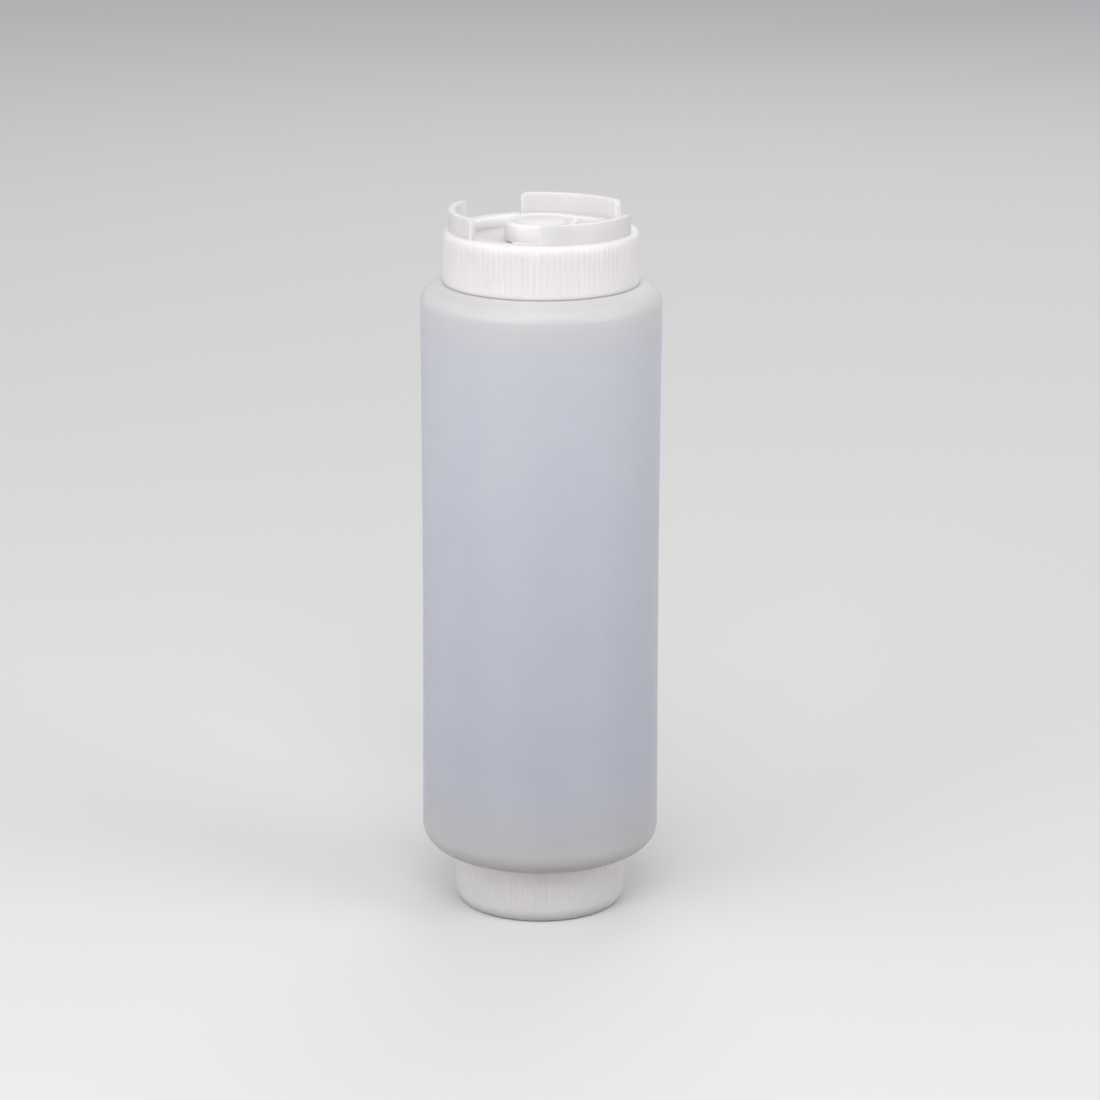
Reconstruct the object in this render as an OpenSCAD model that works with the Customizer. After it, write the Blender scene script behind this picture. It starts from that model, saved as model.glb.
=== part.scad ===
// Squeeze bottle for sauce, with a threaded neck at each end. The dispensing cap on top has a
// slit valve under a small flip lid, and three upright tabs that the bottle can stand on when
// it is turned over. The refill cap below is its foot.
// Sizes are in millimetres and angles in degrees. The origin is the centre of the face that
// the bottle rests on, +Z is up and the front faces -Y. A turn is measured about Z from the
// front, growing towards +X.

/* [Bottle] */
// Outer diameter of the body at its shoulders
body_d = 70; // [66:0.5:76]
// How far the body draws in at mid height, on the radius
waist = 0.35; // [0:0.05:0.8]
// Height of the body's underside
under_z = 17.35; // [16:0.05:20]
// Height of the ledge under the dispensing cap
ledge_z = 188; // [150:1:220]
// Thickness of the bottle's wall
wall = 1.2; // [0.8:0.1:1.5]
// Radius of the lower corner of the body
lower_corner_r = 7; // [5:0.5:8]
// Radius of the upper corner of the body
upper_corner_r = 5; // [4:0.5:6]
// Slope of the upper shoulder
shoulder_slope = 30; // [20:1:35]

/* [Caps] */
// Diameter of the dispensing cap over its ribs
top_cap_d = 56.8; // [54:0.2:59]
// Height of the dispensing cap's skirt
top_cap_h = 14.9; // [13.5:0.1:18]
// Diameter of the refill cap at its open end
base_cap_d = 51.5; // [48:0.5:52]
// Taper of the refill cap's side, on the radius
base_cap_draft = 0.5; // [0.1:0.1:0.7]
// Thickness of each cap's side
cap_side = 1.7; // [1.5:0.05:1.9]
// Thickness of each cap's flat end
cap_end = 1.6; // [1.2:0.1:2]
// Number of grip ribs round the dispensing cap
top_ribs = 100; // [60:2:120]
// Number of grip ribs round the refill cap
base_ribs = 90; // [60:2:110]
// Depth of the grip ribs
rib_depth = 0.25; // [0.1:0.05:0.35]

/* [Stand tabs] */
// Height of the tabs above the dispensing cap
tab_h = 6.1; // [4:0.1:9]
// How far the tabs' outer face stands in from the cap's side
tab_inset = 1.6; // [1.2:0.1:2]
// Thickness of the tabs
tab_t = 1.9; // [1.2:0.1:2.2]
// Radius of the tabs' upper corners
tab_corner_r = 1.6; // [0.5:0.1:2.5]
// Turn to the middle of the right tab
right_tab_turn = 35.5; // [30:0.5:40]
// Turn to the middle of the rear tab
rear_tab_turn = 156.4; // [152:0.2:162]
// Turn to the middle of the left tab
left_tab_turn = 276; // [271:0.5:281]
// Width of the right tab, as an angle
right_tab_span = 74; // [50:0.2:90]
// Width of the rear tab, as an angle
rear_tab_span = 72; // [50:0.2:90]
// Width of the left tab, as an angle
left_tab_span = 71.4; // [50:0.2:90]

/* [Thread] */
// Rise of the threads in one turn
thread_pitch = 4.2; // [4:0.1:4.6]
// Height of a thread over the wall that carries it
thread_depth = 1.15; // [0.8:0.05:1.2]
// Length of each thread in turns
thread_turns = 1.25; // [1:0.05:1.4]

/* [Recess and valve] */
// Depth of the recess in the dispensing cap
recess_depth = 3.2; // [2.8:0.1:3.4]
// Radius of the spout that holds the valve
spout_r = 8.4; // [8:0.1:8.4]
// Radius of the valve's flange
valve_flange_r = 7.4; // [6.8:0.1:7.4]
// Half of the diagonal of the valve's slit square
slit_reach = 4; // [3:0.1:4.1]

/* [Flip lid] */
// Outer radius of the flip lid
lid_r = 10.5; // [10.5:0.1:11]
// Height of the lid's top above the dispensing cap's rim
lid_rise = 2.8; // [2.7:0.1:3.5]
// Turn to the lid's hinge
hinge_turn = 158; // [150:1:166]
// Distance from the cap's axis to the hinge's axis
hinge_reach = 13.5; // [13.3:0.1:14.5]
// Width of the lid's hinge barrel
barrel_w = 6; // [4:0.5:8]

/* [Hidden] */
$fn = 96;

// Clearances
rest_gap = 0.05;
cap_to_body_gap = 0.3;
thread_gap = 0.35;
plug_gap = 0.2;
pivot_gap = 0.05;
slit_gap = 0.1;

// Thread form: widths of the ridge, how far its root is sunk in the wall, and its steps
thread_root_w = 2;
thread_crest_w = 1;
thread_sink = 0.3;
thread_steps = 48;
thread_fade_steps = 5;
top_thread_z = ledge_z + 3.5;

// Necks, worked out from the caps inwards
body_r = body_d / 2;
shoulder_flat = 2.6;
neck_wall = 1.3;
top_inner_r = top_cap_d / 2 - cap_side;
top_root_r = top_inner_r - thread_gap - thread_depth;
top_bore_r = top_root_r - neck_wall;
base_inner_r = base_cap_d / 2 - cap_side;
base_root_r = base_inner_r - thread_gap - thread_depth;
base_bore_r = base_root_r - neck_wall;

// Heights of the dispensing cap and of the neck inside it
seal_t = 0.8;
top_skirt_z = ledge_z + cap_to_body_gap;
rim_z = top_skirt_z + top_cap_h;
top_seal_z = rim_z - cap_end - seal_t;
top_neck_z = top_seal_z - rest_gap;
recess_z = rim_z - recess_depth;
recess_wall = 1.2;
recess_r = top_bore_r - plug_gap - recess_wall;
recess_floor = 1.4;
recess_under_z = recess_z - recess_floor;
shoulder_fillet = 1.2;
rim_edge = 0.3;
band_h = 1.6;
band_step = 0.12;
collar_step = 0.05;
rib_start = 0.5;
rib_end = 0.3;
collar_sink = 1;

// Stand tabs
tab_r = top_cap_d / 2 - tab_inset;
tab_top_z = rim_z + tab_h;
tab_sink = 0.5;
tab_turns = [right_tab_turn, rear_tab_turn, left_tab_turn];
tab_spans = [right_tab_span, rear_tab_span, left_tab_span];

// Heights of the refill cap and of the neck inside it
base_skirt_z = under_z - cap_to_body_gap;
base_seal_z = cap_end;
base_neck_z = base_seal_z + seal_t + rest_gap;
base_thread_z = base_neck_z + 2.8;
base_seal_r = base_root_r + 0.6;
foot_corner_r = 3;
foot_corner_h = 4.6;
foot_corner_steps = 8;
foot_recess_r = 19;
foot_recess_depth = 0.4;

// Valve, its seat and its retaining ring
seat_z = recess_z + 1.6;
flange_t = 1;
flange_top_z = seat_z + flange_t;
membrane_t = 0.4;
membrane_z = seat_z + 0.4;
membrane_top_z = membrane_z + membrane_t;
membrane_sink = 0.3;
valve_open_r = 5.2;
seat_bore_r = 5.6;
spout_top_z = flange_top_z - rest_gap;
spout_sink = 0.9;
flap_reach = slit_reach / sqrt(2);
flap_relief = 0.28;
flap_relief_l = 1;
retainer_in_r = spout_r + rest_gap;
retainer_r = retainer_in_r + 0.65;
retainer_z = recess_z + 0.6;
retainer_under_z = flange_top_z + rest_gap;
retainer_top_z = retainer_under_z + 0.8;
retainer_edge = 0.3;
snap_z = recess_z + 1.2;
snap_h = 0.6;
snap_depth = 0.25;

// Flip lid and its hinge
lid_z = recess_z + 0.5;
lid_top_z = rim_z + lid_rise;
lid_wall = 1.2;
lid_under_z = lid_top_z - lid_wall;
lid_edge_r = 0.6;
lid_disc_r = 6.9;
lid_disc_drop = 0.1;
lid_groove_r = 9.2;
lid_groove_depth = 0.5;
lid_groove_draft = 0.3;
lid_ring_r = valve_open_r - 0.15;
lid_ring_t = 0.7;
lid_ring_z = membrane_top_z + 0.1;
lid_ring_sink = 0.2;
hinge_z = recess_z + 2;
barrel_r = 1.6;
pivot_r = 1;
tongue_z = hinge_z - 0.9;
tongue_h = 2.2;
tongue_sink = 0.5;
ear_t = 1.4;
ear_gap = 0.15;
ear_sink = 0.5;
rear_notch_z = recess_z + 1;
rear_notch_w = 11;
rear_notch_reach = 4;
lip_out = 1.6;
lip_sink = 0.6;
lip_t = 0.8;
lip_half_turn = 22;

// How far a cutting shape runs past what it cuts
past = 1;

function arc_points(cr, cz, r, from, to, steps) =
    [for (i = [0:steps]) let (a = from + (to - from) * i / steps) [cr + r * cos(a), cz + r * sin(a)]];

// Radius of the body's side at height z, drawn in by an amount less at its shoulders
function side_r(z, low, high, inset) = body_r - inset - waist * sin(180 * (z - low) / (high - low));

// Half outline of the body from the lower neck to the upper one, inset by a wall's thickness
function body_points(inset, lower_r, upper_r) =
    let (low_r = lower_corner_r - inset,
         high_r = upper_corner_r - inset,
         low = under_z + lower_corner_r,
         drop = ledge_z - tan(shoulder_slope) * shoulder_flat,
         edge_angle = 90 - shoulder_slope,
         high = drop - upper_corner_r * sin(edge_angle),
         ledge_r = body_r - upper_corner_r * (1 - cos(edge_angle)) - shoulder_flat)
    concat([[lower_r, under_z + inset]],
           arc_points(body_r - lower_corner_r, low, low_r, -90, 0, 8),
           [for (i = [1:9]) let (z = low + (high - low) * i / 10) [side_r(z, low, high, inset), z]],
           arc_points(body_r - upper_corner_r, high, high_r, 0, edge_angle, 6),
           [[ledge_r - inset * tan(shoulder_slope / 2), ledge_z - inset], [upper_r, ledge_z - inset]]);

function reversed(list) = [for (i = [len(list) - 1:-1:0]) list[i]];

// Places a piece's own +X along a turn
module at(turn) {
    rotate([0, 0, turn - 90]) children();
}

module ring(r_in, r_out, z0, z1) {
    translate([0, 0, z0]) difference() {
        cylinder(r = r_out, h = z1 - z0);
        translate([0, 0, -past]) cylinder(r = r_in, h = z1 - z0 + 2 * past);
    }
}

// A thread ridge: a trapezoid that climbs a right-hand helix and fades out at both ends
module thread(wall_r, crest_r, z_start) {
    steps = round(thread_turns * thread_steps);
    side = crest_r > wall_r ? 1 : -1;
    sunk_r = wall_r - side * thread_sink;
    points = [for (i = [0:steps])
        let (fade = min(1, (i + 0.5) / thread_fade_steps, (steps - i + 0.5) / thread_fade_steps),
             a = i * 360 / thread_steps,
             z = z_start + thread_pitch * i / thread_steps,
             r = wall_r + (crest_r - wall_r) * fade,
             root = side * thread_root_w / 2,
             crest = side * thread_crest_w / 2)
        each [[sunk_r * cos(a), sunk_r * sin(a), z - root],
              [r * cos(a), r * sin(a), z - crest],
              [r * cos(a), r * sin(a), z + crest],
              [sunk_r * cos(a), sunk_r * sin(a), z + root]]];
    sides = [for (i = [0:steps - 1], k = [0:3])
        let (a = 4 * i + k, b = 4 * i + (k + 1) % 4)
        each [[a, b, b + 4], [a, b + 4, a + 4]]];
    last = 4 * steps;
    ends = [[2, 1, 0], [3, 2, 0], [last, last + 1, last + 2], [last, last + 2, last + 3]];
    polyhedron(points, concat(sides, ends));
}

// Outline of a cap's ribbed side
module rib_outline(r, count) {
    pitch = 360 / count;
    profile = [[0, -rib_depth], [0.2, 0], [0.6, 0], [0.8, -rib_depth]];
    polygon([for (i = [0:count - 1], p = profile)
        let (a = (i + p[0]) * pitch) [(r + p[1]) * cos(a), (r + p[1]) * sin(a)]]);
}

module bottle() {
    color([0.79, 0.82, 0.86]) {
        rotate_extrude() polygon(concat(
            [[base_bore_r, base_neck_z], [base_root_r, base_neck_z]],
            body_points(0, base_root_r, top_root_r),
            [[top_root_r, top_neck_z], [top_bore_r, top_neck_z]],
            reversed(body_points(wall, base_bore_r, top_bore_r))));
        thread(top_root_r, top_root_r + thread_depth, top_thread_z);
        thread(base_root_r, base_root_r + thread_depth, base_thread_z);
    }
}

// What is cut from a tab to round its upper corner. The arc's radius is a little over the corner's, so that
// it crosses the tab's side and top instead of just touching them.
module tab_corner_cut(side) {
    over_r = tab_corner_r * 1.04;
    out = tab_corner_r + past;
    points = concat(arc_points(0, 0, over_r, 0, 90, 8), [[0, out], [out, out], [out, 0]]);
    polygon([for (p = points) [side * p[0], p[1]]]);
}

module stand_tab(turn, span) {
    corner = tab_corner_r / tab_r * 180 / PI;
    in_r = tab_r - tab_t;
    difference() {
        at(turn - span / 2) rotate_extrude(angle = span)
            translate([in_r, rim_z - tab_sink]) square([tab_t, tab_h + tab_sink]);
        for (side = [-1, 1]) at(turn + side * (span / 2 - corner))
            translate([in_r - past, 0, tab_top_z - tab_corner_r]) rotate([90, 0, 90])
                linear_extrude(tab_t + 2 * past) tab_corner_cut(side);
    }
}

// One of the two ears that carry the flip lid
module hinge_ear(side) {
    at(hinge_turn) translate([hinge_reach, side * (barrel_w / 2 + ear_gap + ear_t / 2), 0]) difference() {
        union() {
            translate([0, 0, hinge_z]) rotate([90, 0, 0])
                cylinder(r = barrel_r, h = ear_t, center = true, $fn = 32);
            translate([-barrel_r, -ear_t / 2, recess_z - ear_sink])
                cube([2 * barrel_r, ear_t, hinge_z - recess_z + ear_sink]);
        }
        translate([0, 0, hinge_z]) rotate([90, 0, 0])
            cylinder(r = pivot_r + pivot_gap, h = ear_t + past, center = true, $fn = 32);
    }
}

// The dispensing cap's smooth band, ribbed side and collar, solid as far as the axis
module top_cap_side() {
    out_r = top_cap_d / 2;
    collar_r = out_r - band_step - rib_depth + collar_step;
    rib_z = top_skirt_z + rib_start;
    rib_top_z = rim_z - shoulder_fillet - rib_end;
    translate([0, 0, top_skirt_z]) cylinder(r = out_r, h = band_h);
    translate([0, 0, rib_z]) linear_extrude(rib_top_z - rib_z) rib_outline(out_r - band_step, top_ribs);
    rotate_extrude() polygon(concat(
        [[0, rib_top_z - collar_sink], [collar_r, rib_top_z - collar_sink]],
        arc_points(collar_r - shoulder_fillet, rim_z - shoulder_fillet, shoulder_fillet, 0, 90, 5),
        [[recess_r + rim_edge, rim_z], [recess_r, rim_z - rim_edge], [0, rim_z - rim_edge]]));
}

// The recess's floor and wall, and the spout with the groove that the valve's ring snaps into
module recess_bowl() {
    ring(recess_r, recess_r + recess_wall, recess_under_z, rim_z - cap_end / 2);
    translate([0, 0, recess_under_z]) cylinder(r = recess_r + recess_wall / 2, h = recess_floor);
    rotate_extrude() polygon([[0, recess_z - spout_sink], [spout_r, recess_z - spout_sink],
        [spout_r, snap_z - snap_h / 2], [spout_r - snap_depth, snap_z - snap_h / 4],
        [spout_r - snap_depth, snap_z + snap_h / 4], [spout_r, snap_z + snap_h / 2],
        [spout_r, spout_top_z], [0, spout_top_z]]);
}

module dispensing_cap() {
    color([0.93, 0.93, 0.92]) {
        difference() {
            union() {
                difference() {
                    top_cap_side();
                    translate([0, 0, top_skirt_z - past])
                        cylinder(r = top_inner_r, h = top_cap_h - cap_end + past);
                    translate([0, 0, rim_z - cap_end - past]) cylinder(r = recess_r, h = cap_end + 2 * past);
                }
                recess_bowl();
                for (side = [-1, 1]) hinge_ear(side);
            }
            translate([0, 0, recess_under_z - past])
                cylinder(r = seat_bore_r, h = spout_top_z - recess_under_z + 2 * past);
            translate([0, 0, seat_z])
                cylinder(r = valve_flange_r + rest_gap, h = spout_top_z - seat_z + past);
        }
        for (i = [0:2]) stand_tab(tab_turns[i], tab_spans[i]);
        thread(top_inner_r, top_inner_r - thread_depth, top_thread_z - thread_pitch / 2);
    }
}

// Sealing ring between the neck's rim and the cap's top
module dispensing_seal() {
    color([0.82, 0.83, 0.80])
        ring(recess_r + recess_wall + plug_gap, top_root_r + thread_depth, top_seal_z, top_seal_z + seal_t);
}

// Silicone valve: its flange and the part of its membrane that doesn't bend
module valve() {
    square_side = 2 * flap_reach + slit_gap;
    color([0.90, 0.87, 0.80]) difference() {
        union() {
            ring(valve_open_r, valve_flange_r, seat_z, flange_top_z);
            translate([0, 0, membrane_z]) cylinder(r = valve_open_r + membrane_sink, h = membrane_t);
        }
        translate([0, 0, seat_z]) rotate([0, 0, 45])
            cube([square_side, square_side, 2 * (flange_t + past)], center = true);
    }
}

// One of the four flaps between the arms of the valve's cross slit. Its root is narrowed, because its lower
// edges swing towards the next flaps as it bends up.
module valve_flap(turn) {
    side_x = flap_reach - flap_relief_l;
    side_y = side_x - slit_gap;
    root_y = flap_reach - slit_gap - flap_relief;
    color([0.93, 0.89, 0.81]) at(turn) translate([0, 0, membrane_z]) linear_extrude(membrane_t)
        polygon([[slit_gap, 0], [side_x, -side_y], [flap_reach, -root_y],
                 [flap_reach, root_y], [side_x, side_y]]);
}

module valve_flap_1() {
    valve_flap(45);
}

module valve_flap_2() {
    valve_flap(135);
}

module valve_flap_3() {
    valve_flap(225);
}

module valve_flap_4() {
    valve_flap(315);
}

// Ring that snaps over the spout and clamps the valve's flange
module valve_retainer() {
    bead_r = retainer_in_r - snap_depth;
    color([0.90, 0.91, 0.92]) rotate_extrude() polygon([
        [retainer_in_r, retainer_z], [retainer_r, retainer_z],
        [retainer_r, retainer_top_z - retainer_edge], [retainer_r - retainer_edge, retainer_top_z],
        [valve_open_r, retainer_top_z], [valve_open_r, retainer_under_z],
        [retainer_in_r, retainer_under_z], [retainer_in_r, snap_z + snap_h / 2],
        [bead_r, snap_z + snap_h / 4], [bead_r, snap_z - snap_h / 4],
        [retainer_in_r, snap_z - snap_h / 2]]);
}

module flip_lid() {
    in_r = lid_r - lid_wall;
    color([0.95, 0.95, 0.94]) {
        difference() {
            union() {
                rotate_extrude() polygon(concat(
                    [[0, lid_z], [lid_r, lid_z]],
                    arc_points(lid_r - lid_edge_r, lid_top_z - lid_edge_r, lid_edge_r, 0, 90, 5),
                    [[lid_groove_r + lid_groove_draft, lid_top_z],
                     [lid_groove_r - lid_groove_draft, lid_top_z - lid_groove_depth],
                     [lid_disc_r + lid_groove_draft, lid_top_z - lid_groove_depth],
                     [lid_disc_r - lid_groove_draft, lid_top_z - lid_disc_drop],
                     [0, lid_top_z - lid_disc_drop]]));
                at(hinge_turn + 180 - lip_half_turn) rotate_extrude(angle = 2 * lip_half_turn)
                    translate([lid_r - lip_sink, lid_z]) square([lip_out + lip_sink, lip_t]);
            }
            translate([0, 0, lid_z - past]) cylinder(r = in_r, h = lid_under_z - lid_z + past);
            at(hinge_turn) translate([in_r - rear_notch_reach, -rear_notch_w / 2, lid_z - past])
                cube([2 * rear_notch_reach, rear_notch_w, rear_notch_z - lid_z + past]);
        }
        ring(lid_ring_r - lid_ring_t, lid_ring_r, lid_ring_z, lid_under_z + lid_ring_sink);
        at(hinge_turn) {
            translate([lid_r - tongue_sink, -barrel_w / 2, tongue_z])
                cube([hinge_reach - lid_r + tongue_sink, barrel_w, tongue_h]);
            translate([hinge_reach, 0, hinge_z]) rotate([90, 0, 0]) {
                cylinder(r = barrel_r, h = barrel_w, center = true, $fn = 32);
                cylinder(r = pivot_r, h = barrel_w + 2 * (ear_gap + ear_t), center = true, $fn = 32);
            }
        }
    }
}

// Sealing disc that lies in the refill cap
module refill_seal() {
    color([0.82, 0.83, 0.80]) translate([0, 0, base_seal_z]) cylinder(r = base_seal_r, h = seal_t);
}

module refill_cap() {
    out_r = base_cap_d / 2;
    low_r = out_r - base_cap_draft;
    rib_r = out_r - base_cap_draft / 2;
    band_z = base_skirt_z - band_h;
    color([0.90, 0.90, 0.89]) {
        difference() {
            union() {
                rotate_extrude() polygon(concat(
                    [[0, 0], [low_r - foot_corner_r, 0]],
                    [for (i = [1:foot_corner_steps]) let (a = 90 * i / foot_corner_steps)
                        [low_r - foot_corner_r * (1 - sin(a)), foot_corner_h * (1 - cos(a))]],
                    [[rib_r - rib_depth, band_z], [out_r, band_z],
                     [out_r, base_skirt_z], [0, base_skirt_z]]));
                translate([0, 0, foot_corner_h]) linear_extrude(band_z - foot_corner_h)
                    rib_outline(rib_r, base_ribs);
            }
            translate([0, 0, cap_end]) cylinder(r = base_inner_r, h = base_skirt_z);
            translate([0, 0, -past]) cylinder(r = foot_recess_r, h = past + foot_recess_depth);
        }
        thread(base_inner_r, base_inner_r - thread_depth, base_thread_z + thread_pitch / 2);
    }
}

bottle();
dispensing_seal();
dispensing_cap();
valve();
valve_flap_1();
valve_flap_2();
valve_flap_3();
valve_flap_4();
valve_retainer();
flip_lid();
refill_seal();
refill_cap();
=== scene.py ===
import math

import bmesh
import bpy
from mathutils import Matrix, Vector


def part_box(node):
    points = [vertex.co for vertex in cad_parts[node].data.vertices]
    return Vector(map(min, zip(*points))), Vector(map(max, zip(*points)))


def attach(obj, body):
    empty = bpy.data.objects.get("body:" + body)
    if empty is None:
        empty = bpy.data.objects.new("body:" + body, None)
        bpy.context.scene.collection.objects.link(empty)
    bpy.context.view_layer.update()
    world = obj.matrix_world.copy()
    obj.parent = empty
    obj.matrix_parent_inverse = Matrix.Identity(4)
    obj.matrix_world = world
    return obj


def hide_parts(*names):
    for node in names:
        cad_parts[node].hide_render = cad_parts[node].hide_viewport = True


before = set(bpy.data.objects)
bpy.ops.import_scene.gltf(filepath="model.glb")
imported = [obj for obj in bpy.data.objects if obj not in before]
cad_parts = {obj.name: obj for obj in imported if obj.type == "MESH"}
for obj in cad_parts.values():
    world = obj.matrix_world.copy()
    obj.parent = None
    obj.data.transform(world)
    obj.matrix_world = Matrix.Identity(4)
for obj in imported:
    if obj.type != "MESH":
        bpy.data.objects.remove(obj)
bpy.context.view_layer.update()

# The bottle is one blown piece of natural polyethylene, milky and a little see-through, with a threaded
# neck at each end. Its wall is an even shell, and the two halves of the mould leave a faint line on it.
MM = 0.001
bottle_low, bottle_high = (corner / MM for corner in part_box("bottle"))
cap_low, cap_high = (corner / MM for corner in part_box("dispensing_cap"))
foot_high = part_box("refill_cap")[1] / MM
cap_clearance = 0.3
weld = 0.002 * MM

body_r = bottle_high.x
waist = 0.35
wall = 1.2
under_z = foot_high.z + cap_clearance
ledge_z = cap_low.z - cap_clearance
lower_corner_r = 7
upper_corner_r = 5
shoulder_slope = math.radians(30)
shoulder_flat = 2.6
top_neck_r = 25.2
top_bore_r = 23.9
base_neck_r = 22.55
base_bore_r = 21.25
thread_pitch = 4.2
thread_depth = 1.15
thread_turns = 1.25
parting_turn = math.radians(-10)
parting_height = 0.07
parting_width = 0.45


def arc(r, z, radius, start, end, steps):
    """Points of a round corner, from its centre, its radius and two angles in degrees."""
    turns = [math.radians(start + (end - start) * i / steps) for i in range(steps + 1)]
    return [(r + radius * math.cos(t), z + radius * math.sin(t)) for t in turns]


def at_turn(r, z, turn):
    """The point in metres at a radius, a height and a turn from the front, which grows towards +X."""
    return Vector((r * math.sin(turn), -r * math.cos(turn), z)) * MM


def new_tree(name, kind, inputs, outputs):
    """A node group with its sockets, its input node and its output node."""
    tree = bpy.data.node_groups.new(name, kind)
    for label, socket_type in inputs.items():
        tree.interface.new_socket(label, in_out="INPUT", socket_type=socket_type)
    for label, socket_type in outputs.items():
        tree.interface.new_socket(label, in_out="OUTPUT", socket_type=socket_type)
    return tree, tree.nodes.new("NodeGroupInput").outputs, tree.nodes.new("NodeGroupOutput").inputs


def add_node(tree, kind, values, **settings):
    """Adds a node, and sets or links its inputs by name or by number."""
    made = tree.nodes.new(kind)
    for label, value in settings.items():
        setattr(made, label, value)
    for label, value in values.items():
        if isinstance(value, bpy.types.NodeSocket):
            tree.links.new(value, made.inputs[label])
        else:
            made.inputs[label].default_value = value
    return made


def calc(tree, operation, *values):
    """The result of one math node."""
    return add_node(tree, "ShaderNodeMath", dict(enumerate(values)), operation=operation).outputs[0]


def sweep_grid(tree, outline, steps):
    """A grid with one row for each point of an outline, that point's index and place, and the column."""
    columns = calc(tree, "ADD", steps, 1)
    count = add_node(tree, "GeometryNodeAttributeDomainSize", {"Geometry": outline}).outputs["Point Count"]
    grid = add_node(tree, "GeometryNodeMeshGrid", {"Vertices X": count, "Vertices Y": columns})
    index = tree.nodes.new("GeometryNodeInputIndex").outputs[0]
    point = calc(tree, "FLOOR", calc(tree, "DIVIDE", calc(tree, "ADD", index, 0.5), columns))
    column = calc(tree, "SUBTRACT", index, calc(tree, "MULTIPLY", point, columns))
    position = add_node(tree, "GeometryNodeSampleIndex", {
        "Geometry": outline, "Value": tree.nodes.new("GeometryNodeInputPosition").outputs[0], "Index": point},
        data_type="FLOAT_VECTOR")
    place = add_node(tree, "ShaderNodeSeparateXYZ", {0: position.outputs[0]})
    return grid.outputs["Mesh"], point, place.outputs, column


def end_sweep(tree, grid, place, material, result):
    """Moves the grid's points to their places, closes its seam and gives it its material."""
    placed = add_node(tree, "GeometryNodeSetPosition", {"Geometry": grid, "Position": place.outputs[0]})
    closed = add_node(tree, "GeometryNodeMergeByDistance", {"Geometry": placed.outputs[0], "Distance": weld})
    real = add_node(tree, "GeometryNodeRealizeInstances", {"Geometry": closed.outputs[0]})
    finished = add_node(tree, "GeometryNodeSetMaterial", {"Geometry": real.outputs[0], "Material": material})
    tree.links.new(finished.outputs[0], result)


def turned_wall_tree():
    """Sweeps an outline once round the upright axis. Its points carry a pattern weight, which places the
    grip ribs, or the ridge that a split mould leaves on two opposite sides."""
    tree, given, made = new_tree("Turned wall", "GeometryNodeTree", {
        "Outline": "NodeSocketGeometry", "Segments": "NodeSocketInt",
        "Ribs": "NodeSocketFloat", "Rib Depth": "NodeSocketFloat",
        "Ridge Height": "NodeSocketFloat", "Ridge Width": "NodeSocketFloat", "Ridge Turn": "NodeSocketFloat",
        "Material": "NodeSocketMaterial"}, {"Wall": "NodeSocketGeometry"})
    outline = given["Outline"]
    grid, point, place, column = sweep_grid(tree, outline, given["Segments"])
    pattern = add_node(tree, "GeometryNodeSampleIndex", {
        "Geometry": outline, "Index": point,
        "Value": add_node(tree, "GeometryNodeInputNamedAttribute", {"Name": "pattern"}).outputs[0]})
    turn = calc(tree, "MULTIPLY", calc(tree, "DIVIDE", column, given["Segments"]), -2 * math.pi)
    wave = calc(tree, "COSINE", calc(tree, "MULTIPLY", turn, given["Ribs"]))
    groove = add_node(tree, "ShaderNodeMapRange", {"Value": wave, "From Min": -0.5, "From Max": 1})
    grooves = calc(tree, "MULTIPLY", groove.outputs[0], given["Rib Depth"])
    across = calc(tree, "MULTIPLY", place["X"],
                  calc(tree, "SINE", calc(tree, "SUBTRACT", turn, given["Ridge Turn"])))
    away = calc(tree, "POWER", calc(tree, "ABSOLUTE", calc(tree, "DIVIDE", across, given["Ridge Width"])), 2)
    ridge = calc(tree, "MULTIPLY", calc(tree, "EXPONENT", calc(tree, "MULTIPLY", away, -1)),
                 given["Ridge Height"])
    relief = calc(tree, "MULTIPLY", calc(tree, "SUBTRACT", ridge, grooves), pattern.outputs[0])
    radius = calc(tree, "ADD", place["X"], relief)
    swept = add_node(tree, "ShaderNodeCombineXYZ", {
        "X": calc(tree, "MULTIPLY", radius, calc(tree, "SINE", turn)),
        "Y": calc(tree, "MULTIPLY", calc(tree, "MULTIPLY", radius, calc(tree, "COSINE", turn)), -1),
        "Z": place["Z"]})
    end_sweep(tree, grid, swept, given["Material"], made["Wall"])
    return tree


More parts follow.
